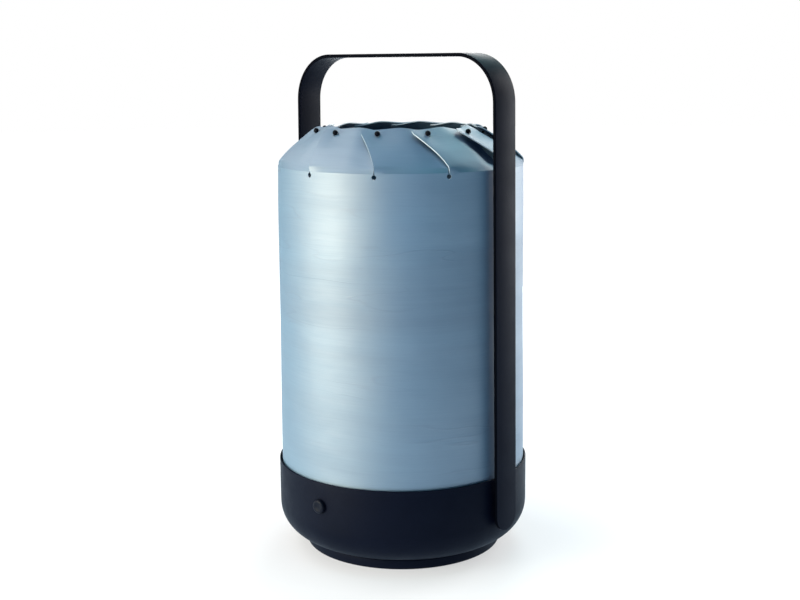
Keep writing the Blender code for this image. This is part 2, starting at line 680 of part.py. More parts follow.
def battery_group():
    low = CUP_FLOOR_Z + CUP_WALL + GAP
    height = CRADLE_TOP_Z - low
    cradle = box("battery_cradle", (74.0, 54.0, height), (0.0, 0.0, low + height / 2), MOULDED)
    half = CELL_LENGTH / 2
    for index, sign in enumerate((1.0, -1.0), 1):
        y = sign * CELL_OFFSET_Y
        drill(cradle, f"cradle_groove_{index}", CELL_RADIUS + GAP, (-40, y, CELL_Z), (40, y, CELL_Z), 24)
        profile = [(0.0, half), (2.8, half), (2.8, half - 0.8), (7.5, half - 0.8),
                   (CELL_RADIUS, half - 1.6), (CELL_RADIUS, -half + 0.5), (8.7, -half), (0.0, -half)]
        cell = turned(f"battery_cell_{index}", profile, 16, CELL_WRAP)
        cell.matrix_world = at(0.0, y, CELL_Z) @ Matrix.Rotation(math.radians(90.0 * sign), 4, "Y")
        screw_y = sign * BATTERY_SCREW_Y
        drill(cradle, f"cradle_hole_{index}", 1.9, (0, screw_y, 4), (0, screw_y, 20), 12)

    inner_y = CELL_OFFSET_Y + CELL_RADIUS + GAP
    top_z = CELL_Z + CELL_RADIUS + GAP
    gauge = 1.2
    foot_z = CRADLE_TOP_Z + GAP
    half_outline = [(26.5, foot_z), (26.5, foot_z + gauge), (inner_y + gauge, foot_z + gauge),
                    (inner_y + gauge, top_z + gauge)]
    inner_outline = [(inner_y, top_z), (inner_y, foot_z)]
    outline = half_outline + [(-y, z) for y, z in reversed(half_outline)]
    outline += [(-y, z) for y, z in reversed(inner_outline)] + inner_outline
    strap = plate("battery_strap", [outline], 12.0, STEEL)
    strap.rotation_euler = (math.radians(90.0), 0.0, math.radians(90.0))
    for index, sign in enumerate((1.0, -1.0), 1):
        y = sign * BATTERY_SCREW_Y
        drill(strap, f"battery_strap_hole_{index}", 1.9, (0, y, 14), (0, y, 20), 12)
        screw(f"battery_screw_{index}", at(0.0, y, foot_z + gauge + GAP), 2.7, 1.8, 1.5, 14.2, STEEL)


def control_group():
    middle = BOARD_Z + BOARD_THICKNESS / 2
    box("control_board", (34.0, 26.0, BOARD_THICKNESS), (0.0, 57.0, middle), GREEN_BOARD)
    low = CUP_FLOOR_Z + CUP_WALL + GAP
    for index, (x, y) in enumerate(SPACER_XY, 1):
        profile = [(0.0, BOARD_Z - GAP), (2.5, BOARD_Z - GAP), (2.5, low), (0.0, low)]
        spacer = turned(f"board_spacer_{index}", profile, 12, MOULDED)
        spacer.location = (x * MM, y * MM, 0.0)

    port = plate("usb_port", [stadium(9.0, 3.2)], 8.2, BRIGHT_METAL)
    port.matrix_world = outward(90.0, 70.4, PORT_Z)
    cavity = plate("usb_cavity", [stadium(8.2, 2.4)], 7.0, collection=CUTTERS)
    cavity.matrix_world = outward(90.0, 72.0, PORT_Z)
    cut(port, cavity)
    gasket = plate("usb_gasket", [stadium(12.6, 6.8), stadium(9.9, 4.1)], 2.2, RUBBER)
    gasket.matrix_world = outward(90.0, 74.1, PORT_Z)


def wiring():
    battery_route = [(33.4, 9.8, 18.7), (37.0, 9.8, 18.9), (39.6, 11.5, 21.5), (39.6, 18.0, 28.0),
                     (31.0, 31.0, 32.0), (18.0, 41.0, 32.5), (8.0, 46.0, 31.5), (6.0, 47.0, 28.6)]
    wire("battery_lead", smooth_route(battery_route, 2), 0.8, LEAD_RED)
    led_route = [(-6.0, 47.0, 28.6), (-6.0, 45.5, 33.0), (-4.5, 33.0, 38.5), (-2.0, 15.0, 41.0),
                 (-0.2, 2.0, 43.0), (0.0, 0.0, 47.5), (0.2, 0.8, 52.5), (0.8, 4.0, 54.6),
                 (1.4, 7.5, 53.6), (1.6, 8.6, 52.1)]
    wire("led_lead", smooth_route(led_route, 2), 0.8, LEAD_BLACK)


clear_scene()
PARTS = new_collection("table_lantern")
CUTTERS = new_collection("cutters")
BLACK = material("powder_coat_black", (0.012, 0.013, 0.022), 0.55, 0.2)
RIVET_BLACK = material("rivet_black", (0.01, 0.01, 0.014), 0.4, 0.3)
BUTTON_BLACK = material("button_black", (0.012, 0.012, 0.02), 0.35)
VENEER = material("blue_veneer", (0.27, 0.45, 0.58), 0.5)
RUBBER = material("rubber", (0.02, 0.02, 0.02), 0.8)
MOULDED = material("moulded_black", (0.03, 0.03, 0.035), 0.5)
OPAL = material("opal_diffuser", (0.85, 0.85, 0.83), 0.45)
STEEL = material("zinc_steel", (0.55, 0.55, 0.56), 0.35, 1.0)
BRIGHT_METAL = material("port_shell", (0.7, 0.7, 0.7), 0.25, 1.0)
ALUMINIUM = material("aluminium", (0.75, 0.76, 0.77), 0.4, 1.0)
WHITE_BOARD = material("white_board", (0.8, 0.8, 0.78), 0.4)
GREEN_BOARD = material("green_board", (0.02, 0.16, 0.07), 0.4)
PHOSPHOR = material("led_phosphor", (0.85, 0.7, 0.2), 0.4)
CELL_WRAP = material("cell_wrap", (0.05, 0.2, 0.5), 0.3)
PLUNGER_RED = material("plunger_red", (0.5, 0.03, 0.02), 0.4)
LEAD_RED = material("lead_red", (0.5, 0.02, 0.02), 0.5)
LEAD_BLACK = material("lead_black", (0.02, 0.02, 0.02), 0.5)

foot_group()
base_cup()
light_engine(deck_group())
shade()
handle_group()
button_group()
battery_group()
control_group()
wiring()
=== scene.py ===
"""Looks of the cordless table lantern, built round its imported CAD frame.

Everything is in the part's own frame: +Z up, origin under the middle of the foot, handle legs on
+X and -X. Lengths below are in millimetres and angles in degrees; MM turns lengths into metres.
"""
import math

import bmesh
import bpy
from mathutils import Matrix, Vector
from mathutils import noise as mnoise


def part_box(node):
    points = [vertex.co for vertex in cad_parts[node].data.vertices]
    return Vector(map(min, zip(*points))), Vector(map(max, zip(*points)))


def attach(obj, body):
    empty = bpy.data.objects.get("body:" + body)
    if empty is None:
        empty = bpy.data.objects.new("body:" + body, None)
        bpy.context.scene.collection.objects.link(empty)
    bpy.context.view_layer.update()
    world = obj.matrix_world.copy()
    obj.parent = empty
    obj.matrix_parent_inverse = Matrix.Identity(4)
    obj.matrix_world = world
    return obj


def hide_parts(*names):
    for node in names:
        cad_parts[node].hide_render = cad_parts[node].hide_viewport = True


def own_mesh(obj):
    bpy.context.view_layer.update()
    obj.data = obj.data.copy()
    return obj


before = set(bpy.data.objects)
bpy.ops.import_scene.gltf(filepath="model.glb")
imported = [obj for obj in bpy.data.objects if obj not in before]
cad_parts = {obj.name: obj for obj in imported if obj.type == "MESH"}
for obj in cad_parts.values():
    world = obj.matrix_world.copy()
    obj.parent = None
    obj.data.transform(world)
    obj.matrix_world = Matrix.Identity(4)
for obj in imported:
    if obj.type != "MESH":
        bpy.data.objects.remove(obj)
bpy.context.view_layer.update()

MM = 0.001

BODY = "lantern_body"

# Sizes shared with the CAD model
CUP_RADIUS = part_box("base_cup")[1].x / MM
CUP_RIM_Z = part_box("base_cup")[1].z / MM
CUP_FLOOR_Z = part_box("base_cup")[0].z / MM
CUP_WALL = 0.9
CUP_CORNER = 19.5
FOOT_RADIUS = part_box("foot_plate")[1].x / MM
FOOT_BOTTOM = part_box("foot_plate")[0].z / MM
FOOT_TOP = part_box("foot_plate")[1].z / MM
PAD_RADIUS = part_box("foot_pad")[1].x / MM
PAD_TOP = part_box("foot_pad")[1].z / MM
STRAP_HALF_SPAN = 77.3
STRAP_SPLAY = 3.0               # how far a leg leans out by its lower end
STRAP_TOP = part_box("handle_strap")[1].z / MM
STRAP_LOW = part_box("handle_strap")[0].z / MM
STRAP_WIDTH = 2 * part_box("handle_strap")[1].y / MM
STRAP_GAUGE = 2.0
STRAP_BEND = 27.2
STRAP_CORNER_Z = STRAP_TOP - STRAP_BEND
STUD_HEIGHTS = (28.0, 40.0)
STUD_RADIUS = 2.0
STUD_SHOULDER = 4.0
STUD_REACH = 8.2                # how far a stud goes in from the upright part of the strap
WALL_DRILL_RADIUS = 75.0        # the middle of the drills that go through the cup's wall

# Shade sheet
SHEET = 0.6
SHADE_LOW_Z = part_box("shade")[0].z / MM
SHADE_LOW_RADIUS = 73.1
SHADE_RADIUS = 71.55
CREASE_Z = 229.0
SLIT_DEPTH = 1.6
SLIT_WIDTH = 0.6
SLIT_HOLE_RADIUS = 1.3
SLIT_HOLE_Z = 227.2
SLIT_DRILL_RADIUS = 72.0        # the middle of the drills for these holes
BODY_TOP_Z = CREASE_Z - SLIT_DEPTH
PETALS = 11
FIRST_SLIT = -59.35
PETAL_LENGTH = 37.9
PETAL_CORNER = 4.5
FOLD_LEAN = 33.0                # a petal's lean at the crease
CURL_LEAN = 15.0                # further lean, most of it gained by twice CURL_REACH
CURL_REACH = 5.7
CURVE_LEAN = 0.36               # and more lean with each millimetre
FLAT_SHARE = 0.8                # how much of the tube's roundness it has lost at FLAT_REACH
FLAT_REACH = 4.9
FOLD_BAND = 2.27                # the straight stretch next to the crease
PETAL_SKEW = 5.5                # how far its tip moves to the left
PETAL_LIFT = 0.4                # how far its left side rises
PETAL_TUCK = 1.0                # how far its left corner is pressed down
PETAL_DROP = 1.1                # how far its right side dips
PETAL_TIP_DROP = 0.85           # and how much further near its tip
SLACK_PETAL = 1                 # this one's right side sags further, by PETAL_SLACK
PETAL_SLACK = 3.4
RIVET_OFFSET = -3.7             # degrees from a slit to its rivet
RIVET_REACH = 32.5
RIVET_HOLE = 1.15
SEAM_SLIT = 5                   # the rolled sheet's ends meet under this slit, at the back
SEAM_ANGLE = FIRST_SLIT + SEAM_SLIT * 360.0 / PETALS
LAP_WIDTH = 13.0

VIEW_ANGLE = -47.85             # where the camera stands, round the part
WORLD_LIGHT = 0.02
FLOOR_GLOW_IN_SHADE = 0.56               # what the camera sees of the floor near the part, before the lights: a dimmer glow there, painted shade round the foot
FLOOR_LIGHT = 0.78              # what the floor sheds on the part
FLOOR_TINT = (0.60, 0.81, 1.0)

BUTTON_ANGLE = -87.0
BUTTON_Z = 39.0
PORT_Z = 29.9
PORT_ANGLE = 90.0
DECK_SCREW_CIRCLE = 46.0
DECK_SCREW_ANGLES = (0.0, 120.0, 240.0)


# ---------------------------------------------------------------- mesh helpers

def arc(centre_x, centre_y, radius, start, end, count):
    points = []
    for index in range(count + 1):
        angle = math.radians(start + (end - start) * index / count)
        points.append((centre_x + radius * math.cos(angle), centre_y + radius * math.sin(angle)))
    return points


def fillet(points, radii, count=4, closed=False):
    """Round the corners of an outline; radii gives each corner's radius, 0 for a sharp one."""
    result = []
    total = len(points)
    for index, (corner, radius) in enumerate(zip(points, radii)):
        open_end = not closed and index in (0, total - 1)
        if radius <= 0 or open_end:
            result.append(corner)
            continue
        here = Vector(corner)
        to_before = (Vector(points[index - 1]) - here).normalized()
        to_after = (Vector(points[(index + 1) % total]) - here).normalized()
        half = to_before.angle(to_after) / 2
        reach = radius / math.tan(half)
        middle = here + (to_before + to_after).normalized() * radius / math.sin(half)
        start = here + to_before * reach - middle
        end = here + to_after * reach - middle
        for step in range(count + 1):
            share = step / count
            spoke = start.slerp(end, share) if start.angle(end) > 1e-4 else start
            result.append(tuple(middle + spoke.normalized() * radius))
    return result


def mesh_object(name, bm, mats=()):
    bmesh.ops.recalc_face_normals(bm, faces=bm.faces)
    mesh = bpy.data.meshes.new(name)
    bm.to_mesh(mesh)
    bm.free()
    item = bpy.data.objects.new(name, mesh)
    bpy.context.scene.collection.objects.link(item)
    for mat in mats:
        mesh.materials.append(mat)
    return item


def lathe(name, profile, steps, mat, ring=False):
    """Turn a (radius, height) outline about local Z."""
    bm = bmesh.new()
    rings = []
    for radius, height in profile:
        if radius < 1e-6:
            rings.append([bm.verts.new((0.0, 0.0, height * MM))])
            continue
        turn = [math.tau * index / steps for index in range(steps)]
        rings.append([bm.verts.new((radius * math.cos(a) * MM, radius * math.sin(a) * MM, height * MM))
                      for a in turn])
    pairs = list(zip(rings, rings[1:]))
    if ring:
        pairs.append((rings[-1], rings[0]))
    for low, high in pairs:
        for index in range(steps):
            after = (index + 1) % steps
            if len(low) == 1 and len(high) == 1:
                continue
            if len(low) == 1:
                bm.faces.new((low[0], high[after], high[index]))
            elif len(high) == 1:
                bm.faces.new((low[index], low[after], high[0]))
            else:
                bm.faces.new((low[index], low[after], high[after], high[index]))
    return mesh_object(name, bm, (mat,))


def extrude_outline(name, outline, thickness, mat, bevel=0.0):
    """A plate in local XY, centred on local Z. A bevel, if given, rounds its edges."""
    bm = bmesh.new()
    verts = [bm.verts.new((x * MM, y * MM, -thickness * MM / 2)) for x, y in outline]
    face = bm.faces.new(verts)
    lifted = bmesh.ops.extrude_face_region(bm, geom=[face])["geom"]
    moved = [item for item in lifted if isinstance(item, bmesh.types.BMVert)]
    bmesh.ops.translate(bm, vec=(0.0, 0.0, thickness * MM), verts=moved)
    item = mesh_object(name, bm, (mat,))
    if bevel:
        add_bevel(item, bevel)
    return item


def add_bevel(item, width, segments=3):
    bevel = item.modifiers.new("rounded edges", "BEVEL")
    bevel.width = width * MM
    bevel.segments = segments
    bevel.limit_method = "ANGLE"
    bevel.angle_limit = math.radians(40.0)


def cut(target, cutter, operation="DIFFERENCE"):
    """Cut one mesh by another at once, and drop the cutter."""
    modifier = target.modifiers.new("cut", "BOOLEAN")
    modifier.operation = operation
    modifier.solver = "EXACT"
    modifier.object = cutter
    apply_modifiers(target)
    bpy.data.objects.remove(cutter, do_unlink=True)


def apply_modifiers(item):
    bpy.context.view_layer.update()
    graph = bpy.context.evaluated_depsgraph_get()
    mesh = bpy.data.meshes.new_from_object(item.evaluated_get(graph))
    item.modifiers.clear()
    item.data = mesh


def smooth(item, angle=35.0):
    item.data.shade_smooth()
    item.data.set_sharp_from_angle(angle=math.radians(angle))


def at(x, y, z):
    return Matrix.Translation(Vector((x, y, z)) * MM)


def polar(radius, angle, z=0.0):
    turn = math.radians(angle)
    return (radius * math.cos(turn), radius * math.sin(turn), z)


def outward(angle, radius, z):
    """A frame whose local +Z points out along a radius of the cup."""
    turn = Matrix.Rotation(math.radians(angle), 4, "Z") @ Matrix.Rotation(math.radians(90.0), 4, "Y")
    return at(*polar(radius, angle, z)) @ turn


def place(item, matrix, body=BODY, nodes=(), angle=35.0):
    """Put a finished piece where it belongs, on its body, in place of its CAD nodes."""
    item.matrix_world = matrix
    apply_modifiers(item)
    smooth(item, angle)
    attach(item, body)
    if nodes:
        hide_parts(*nodes)
    return item


def stadium(width, height, count=12):
    radius = height / 2
    reach = width / 2 - radius
    return arc(0.0, reach, radius, 0.0, 180.0, count) + arc(0.0, -reach, radius, 180.0, 360.0, count)


# ---------------------------------------------------------------- materials

class Shader:
    """A small builder for one Principled material."""

    def __init__(self, name, colour, roughness, metallic=0.0, specular=0.5):
        self.mat = bpy.data.materials.new(name)
        self.mat.use_nodes = True
        self.tree = self.mat.node_tree
        self.bsdf = self.tree.nodes["Principled BSDF"]
        self.bsdf.inputs["Base Color"].default_value = (*colour, 1.0)
        self.bsdf.inputs["Roughness"].default_value = roughness
        self.bsdf.inputs["Metallic"].default_value = metallic
        self.bsdf.inputs["Specular IOR Level"].default_value = specular
        self.coords = self.node("ShaderNodeTexCoord").outputs["Object"]

    def node(self, kind, **settings):
        made = self.tree.nodes.new(kind)
        for key, value in settings.items():
            setattr(made, key, value)
        return made

    def link(self, source, target):
        self.tree.links.new(source, target)

    def put(self, socket, value):
        if isinstance(value, (int, float, tuple)):
            socket.default_value = value
        else:
            self.link(value, socket)

    def attribute(self, name):
        return self.node("ShaderNodeAttribute", attribute_name=name).outputs["Vector"]

    def stretched(self, scale, coords=None):
        mapping = self.node("ShaderNodeMapping")
        self.link(coords or self.coords, mapping.inputs["Vector"])
        mapping.inputs["Scale"].default_value = scale
        return mapping.outputs["Vector"]

    def noise(self, scale=1.0, detail=4.0, rough=0.5, coords=None, distortion=0.0):
        tex = self.node("ShaderNodeTexNoise")
        self.link(coords or self.coords, tex.inputs["Vector"])
        tex.inputs["Scale"].default_value = scale
        tex.inputs["Detail"].default_value = detail
        tex.inputs["Roughness"].default_value = rough
        tex.inputs["Distortion"].default_value = distortion
        return tex.outputs["Fac"]

    def voronoi(self, scale, coords=None):
        tex = self.node("ShaderNodeTexVoronoi")
        self.link(coords or self.coords, tex.inputs["Vector"])
        tex.inputs["Scale"].default_value = scale
        return tex.outputs["Distance"]

    def remap(self, value, low, high, to_low=0.0, to_high=1.0):
        ranged = self.node("ShaderNodeMapRange")
        ranged.interpolation_type = "SMOOTHSTEP"
        self.link(value, ranged.inputs["Value"])
        for key, number in (("From Min", low), ("From Max", high), ("To Min", to_low), ("To Max", to_high)):
            ranged.inputs[key].default_value = number
        return ranged.outputs["Result"]

    def math(self, operation, first, second=0.0):
        made = self.node("ShaderNodeMath", operation=operation)
        self.put(made.inputs[0], first)
        self.put(made.inputs[1], second)
        return made.outputs[0]

    def mix(self, share, first, second, blend="MIX"):
        made = self.node("ShaderNodeMix", data_type="RGBA", blend_type=blend)
        self.put(made.inputs["Factor"], share)
        for socket, colour in ((made.inputs["A"], first), (made.inputs["B"], second)):
            self.put(socket, (*colour, 1.0) if isinstance(colour, tuple) else colour)
        return made.outputs["Result"]

    def colour(self, value):
        self.link(value, self.bsdf.inputs["Base Color"])

    def roughness(self, value):
        self.link(value, self.bsdf.inputs["Roughness"])

    def bump(self, height, distance, strength=1.0):
        """Distance is in millimetres."""
        made = self.node("ShaderNodeBump")
        made.inputs["Strength"].default_value = strength
        made.inputs["Distance"].default_value = distance * MM
        self.link(height, made.inputs["Height"])
        before = self.bsdf.inputs["Normal"]
        if before.is_linked:
            self.link(before.links[0].from_socket, made.inputs["Normal"])
        self.link(made.outputs["Normal"], before)


def growth_lines(s, sheet):
    """Thin wavering lines where the peeled sheet crosses the log's growth rings, here and there."""
    field = s.noise(1.0, 3.0, 0.55, s.stretched((3.4, 3.4, 26.0), sheet))
    phase = s.math("FRACT", s.math("MULTIPLY", field, 12.0))
    near = s.math("ABSOLUTE", s.math("SUBTRACT", phase, 0.5))
    line = s.remap(near, 0.0, 0.075, 1.0, 0.0)
    shown = s.remap(s.noise(1.0, 2.0, 0.5, s.stretched((9.0, 9.0, 30.0), sheet)), 0.46, 0.62)
    return s.math("MULTIPLY", line, shown)


def veneer_material(name="blue_veneer", pale=0.0):
    """Dyed wood veneer. The attribute sheet_at holds each point's place on the rolled, uncut sheet."""
    s = Shader(name, (0.08, 0.16, 0.22), 0.55, specular=1.0)
    sheet = s.attribute("sheet_at")
    waver = s.noise(6.0, 3.0, 0.5, s.stretched((1.0, 1.0, 2.0), sheet))
    shift = s.node("ShaderNodeCombineXYZ")
    s.link(s.math("MULTIPLY", waver, 0.010), shift.inputs["Z"])
    moved = s.node("ShaderNodeVectorMath", operation="ADD")
    s.link(sheet, moved.inputs[0])
    s.link(shift.outputs[0], moved.inputs[1])
    sheet = moved.outputs[0]
    fibre = s.noise(1.0, 6.0, 0.62, s.stretched((34.0, 34.0, 2600.0), sheet))
    streak = s.noise(1.0, 4.0, 0.55, s.stretched((13.0, 13.0, 560.0), sheet))
    band = s.noise(1.0, 3.0, 0.5, s.stretched((5.0, 5.0, 85.0), sheet))
    cloud = s.noise(1.0, 3.0, 0.5, s.stretched((14.0, 14.0, 22.0), sheet))
    pores = s.noise(1.0, 2.0, 0.5, s.stretched((120.0, 120.0, 3400.0), sheet))
    wave = s.noise(1.0, 2.0, 0.45, s.stretched((4.0, 4.0, 42.0), sheet))
    figure = growth_lines(s, sheet)

    base = s.mix(s.remap(band, 0.30, 0.72), (0.038, 0.106, 0.184), (0.052, 0.136, 0.222))
    base = s.mix(s.remap(wave, 0.36, 0.64, 0.0, 0.45), base, (0.068, 0.164, 0.258))
    base = s.mix(s.remap(streak, 0.35, 0.7, 0.0, 0.25), base, (0.058, 0.146, 0.234))
    base = s.mix(s.remap(fibre, 0.42, 0.68, 0.0, 0.2), base, (0.034, 0.094, 0.170))
    base = s.mix(s.remap(cloud, 0.35, 0.7, 0.0, 0.45), base, (0.036, 0.100, 0.176))
    base = s.mix(s.remap(figure, 0.0, 1.0, 0.0, 0.35), base, (0.028, 0.082, 0.150))
    base = s.mix(s.remap(pores, 0.64, 0.74, 0.0, 0.3), base, (0.022, 0.060, 0.112))
    if pale:
        base = s.mix(pale, base, (0.62, 0.72, 0.76))
    s.colour(base)
    gloss = s.math("ADD", s.remap(fibre, 0.3, 0.7, 0.54, 0.60), s.remap(wave, 0.36, 0.64, 0.03, -0.03))
    s.roughness(gloss)
    s.bump(fibre, 0.016)
    s.bump(streak, 0.045)
    s.bump(wave, 0.5)
    s.bump(cloud, 1.3)
    s.bump(figure, 0.05)
    s.bsdf.inputs["IOR"].default_value = 1.9
    return s.mat


def powder_coat(name, colour=(0.0024, 0.0040, 0.0115), roughness=0.5, specular=0.06):
    """Fine-texture powder coat with a faint orange peel and slight rubbing."""
    s = Shader(name, colour, roughness, specular=specular)
    grain = s.noise(2600.0, 3.0, 0.6)
    peel = s.noise(420.0, 2.0, 0.5)
    blotch = s.noise(38.0, 4.0, 0.55)
    lighter = tuple(min(1.0, c * 1.6 + 0.001) for c in colour)
    tint = s.mix(s.remap(grain, 0.45, 0.75, 0.0, 0.55), colour, lighter)
    tint = s.mix(s.remap(blotch, 0.4, 0.75, 0.0, 0.35), tint, tuple(c * 0.7 for c in colour))
    s.colour(tint)
    s.roughness(s.math("ADD", s.remap(blotch, 0.3, 0.7, roughness - 0.05, roughness + 0.06),
                       s.remap(grain, 0.3, 0.7, -0.04, 0.04)))
    s.bump(peel, 0.05)
    s.bump(grain, 0.035)
    return s.mat


def moulded(name, colour, roughness=0.45, spark=1400.0, specular=0.5):
    """Moulded plastic or rubber with a fine spark-eroded texture."""
    s = Shader(name, colour, roughness, specular=specular)
    grain = s.noise(spark, 4.0, 0.6)
    flow = s.noise(30.0, 3.0, 0.5)
    lighter = tuple(min(1.0, c * 1.25 + 0.002) for c in colour)
    s.colour(s.mix(s.remap(flow, 0.35, 0.7, 0.0, 0.4), colour, lighter))
    s.roughness(s.remap(grain, 0.3, 0.7, roughness - 0.07, roughness + 0.07))
    s.bump(grain, 0.02)
    return s.mat


def metal(name, colour, roughness=0.3, stretch=(1.0, 1.0, 14.0)):
    """Plated or bare metal with fine directional marks and dull patches."""
    s = Shader(name, colour, roughness, metallic=1.0)
    marks = s.noise(900.0, 4.0, 0.6, s.stretched(stretch))
    patches = s.noise(120.0, 3.0, 0.5)
    s.colour(s.mix(s.remap(patches, 0.35, 0.7, 0.0, 0.5), colour, tuple(c * 0.8 for c in colour)))
    s.roughness(s.math("ADD", s.remap(marks, 0.3, 0.7, roughness - 0.06, roughness + 0.08),
                       s.remap(patches, 0.3, 0.7, -0.05, 0.07)))
    s.bump(marks, 0.006)
    return s.mat


def opal_material():
    s = Shader("opal", (0.86, 0.86, 0.84), 0.42)
    frost = s.noise(1800.0, 4.0, 0.6)
    depth = s.noise(25.0, 2.0, 0.5)
    s.colour(s.mix(s.remap(depth, 0.3, 0.7, 0.0, 0.5), (0.86, 0.86, 0.84), (0.80, 0.80, 0.79)))
    s.roughness(s.remap(frost, 0.3, 0.7, 0.36, 0.50))
    s.bump(frost, 0.01)
    s.bsdf.inputs["Subsurface Weight"].default_value = 0.35
    s.bsdf.inputs["Subsurface Radius"].default_value = (0.004, 0.004, 0.004)
    return s.mat


def board_material(name, colour, trace):
    """A printed board: solder mask over faint copper tracks."""
    s = Shader(name, colour, 0.35)
    cells = s.voronoi(260.0)
    tracks = s.remap(cells, 0.30, 0.36)
    s.colour(s.mix(s.math("MULTIPLY", tracks, 0.45), colour, trace))
    s.roughness(s.remap(s.noise(700.0), 0.3, 0.7, 0.28, 0.42))
    s.bump(tracks, 0.03)
    return s.mat


def floor_material():
    """A pale matt sweep. To the camera it glows more with distance, so that it runs into the white behind,
    and its dimmer glow close to the part is painted shade round the foot.
    """
    s = Shader("floor", (0.36, 0.36, 0.365), 0.8, specular=0.05)
    soft = s.noise(3.0, 3.0, 0.5)
    s.colour(s.mix(soft, (0.35, 0.35, 0.355), (0.37, 0.37, 0.375)))
    behind = s.node("ShaderNodeVectorMath", operation="ADD")
    s.link(s.coords, behind.inputs[0])
    behind.inputs[1].default_value = Vector(polar(0.035, VIEW_ANGLE))
    length = s.node("ShaderNodeVectorMath", operation="LENGTH")
    s.link(behind.outputs[0], length.inputs[0])
    # Less glow close to the part, seen only by the camera: painted shade round the foot, on top of the real
    # shadows.
    near = s.remap(length.outputs["Value"], 0.07, 0.24, FLOOR_GLOW_IN_SHADE, 0.80)
    far = s.math("ADD", near, s.remap(length.outputs["Value"], 0.24, 0.75, 0.0, 0.26))
    rays = s.node("ShaderNodeLightPath").outputs["Is Camera Ray"]
    s.link(s.mix(rays, FLOOR_TINT, (1.0, 1.0, 1.0)), s.bsdf.inputs["Emission Color"])
    glow = s.math("ADD", s.math("MULTIPLY", rays, s.math("SUBTRACT", far, FLOOR_LIGHT)), FLOOR_LIGHT)
    s.link(glow, s.bsdf.inputs["Emission Strength"])
    return s.mat


VENEER = veneer_material()
VENEER_EDGE = veneer_material("veneer_edge", pale=0.55)
POWDER = powder_coat("powder_coat")
# The strap's side edges get a darker, duller coat: painted shade, standing in for the shade that keeps the
# lights off them.
STRAP_SIDE_SHADE = powder_coat("strap_side_painted_shade", (0.0006, 0.0010, 0.0030), 0.6, 0.02)
RIVET_PAINT = powder_coat("rivet_paint", (0.0028, 0.0034, 0.0060), 0.36)
BUTTON_PLASTIC = moulded("button_plastic", (0.0030, 0.0044, 0.0105), 0.42, specular=0.10)
RUBBER = moulded("foot_rubber", (0.018, 0.018, 0.019), 0.72, 900.0)
MOULDED = moulded("moulded_black", (0.028, 0.028, 0.032), 0.48)
OPAL = opal_material()
STEEL = metal("zinc_steel", (0.56, 0.57, 0.58), 0.32)
PORT_METAL = metal("port_metal", (0.72, 0.72, 0.72), 0.22)
ALUMINIUM = metal("aluminium", (0.77, 0.78, 0.79), 0.36, (14.0, 1.0, 1.0))
WHITE_BOARD = board_material("white_board", (0.82, 0.82, 0.80), (0.72, 0.70, 0.62))
GREEN_BOARD = board_material("green_board", (0.018, 0.15, 0.065), (0.05, 0.24, 0.10))
PHOSPHOR = moulded("phosphor", (0.86, 0.70, 0.18), 0.4, 2500.0)
CELL_WRAP = moulded("cell_wrap", (0.045, 0.18, 0.48), 0.28, 500.0)
PLUNGER = moulded("plunger_red", (0.5, 0.03, 0.02), 0.35)
LEAD_RED = moulded("lead_red", (0.48, 0.02, 0.02), 0.45)
LEAD_BLACK = moulded("lead_black", (0.02, 0.02, 0.022), 0.45)
FLOOR = floor_material()


# ---------------------------------------------------------------- shade

def ease(value):
    """Smooth step from 0 to 1."""
    value = min(max(value, 0.0), 1.0)
    return value * value * (3 - 2 * value)


def petal_slope(reach):
    """Lean of a petal's centre line from vertical, in degrees."""
    return FOLD_LEAN + CURL_LEAN * (1.0 - math.exp(-reach / CURL_REACH)) + CURVE_LEAN * reach


CENTRE_LINES = {}


def centre_line(reach):
    """Radius, height and lean of a petal's centre line at a distance above the crease."""
    if reach <= 0.0:
        return SHADE_RADIUS, CREASE_Z + reach, 0.0
    key = round(reach, 4)
    if key not in CENTRE_LINES:
        radius = SHADE_RADIUS
        height = CREASE_Z
        steps = 60
        for index in range(steps):
            lean = math.radians(petal_slope(reach * (index + 0.5) / steps))
            radius -= math.sin(lean) * reach / steps
            height += math.cos(lean) * reach / steps
        CENTRE_LINES[key] = (radius, height, math.radians(petal_slope(reach)))
    return CENTRE_LINES[key]


def petal_point(petal, reach, across):
    """A point of the sheet's middle surface, in millimetres.

    reach runs up the petal from the crease, and across over its width, to the right as seen from outside.
    The first stretch of the fold is straight. Further up the petal flattens and leans to the left, over
    its neighbour: its left corner is pressed down at the rivet, and its right side dips under the next.
    In each ease() the millimetre where that move starts is taken off, and its length divides the rest.
    """
    if 0.0 < reach < FOLD_BAND:
        root = petal_point(petal, 0.0, across)
        return root.lerp(petal_point(petal, FOLD_BAND, across), reach / FOLD_BAND)
    radius, height, lean = centre_line(reach)
    above = max(reach, 0.0)
    round_part = 1.0 - FLAT_SHARE * ease(above / FLAT_REACH)
    turn = across / SHADE_RADIUS
    side = round_part * SHADE_RADIUS * math.sin(turn) + (1.0 - round_part) * across
    side -= PETAL_SKEW * (above / 34.0) ** 1.43
    raise_left = PETAL_LIFT * ease(above / 4.8) * (1.0 - ease((above - 7.3) / 17.0))
    dimple = PETAL_TUCK * ease((above - 14.0) / 18.0) * ease((4.0 - across) / 15.5)
    dimple *= 1.0 - 0.7 * ease((-11.5 - across) / 8.6)
    off = -round_part * SHADE_RADIUS * (1.0 - math.cos(turn))
    off += raise_left * ease((4.0 - across) / 24.0) - dimple
    dip = PETAL_DROP * ease(above / 7.0) + PETAL_TIP_DROP * ease((above - 14.0) / 18.0)
    if petal == SLACK_PETAL:
        dip += PETAL_SLACK * ease(above / 9.0) * (1.0 - ease((above - 18.0) / 12.0))
    off -= dip * ease((across - 2.0) / 16.0)
    out = radius + off * math.cos(lean)
    spot = Vector((out, side, height + off * math.sin(lean)))
    centre = FIRST_SLIT + (petal + 0.5) * 360.0 / PETALS
    return Matrix.Rotation(math.radians(centre), 3, "Z") @ spot


HALF_PETAL = math.pi * SHADE_RADIUS / PETALS - SLIT_WIDTH / 2


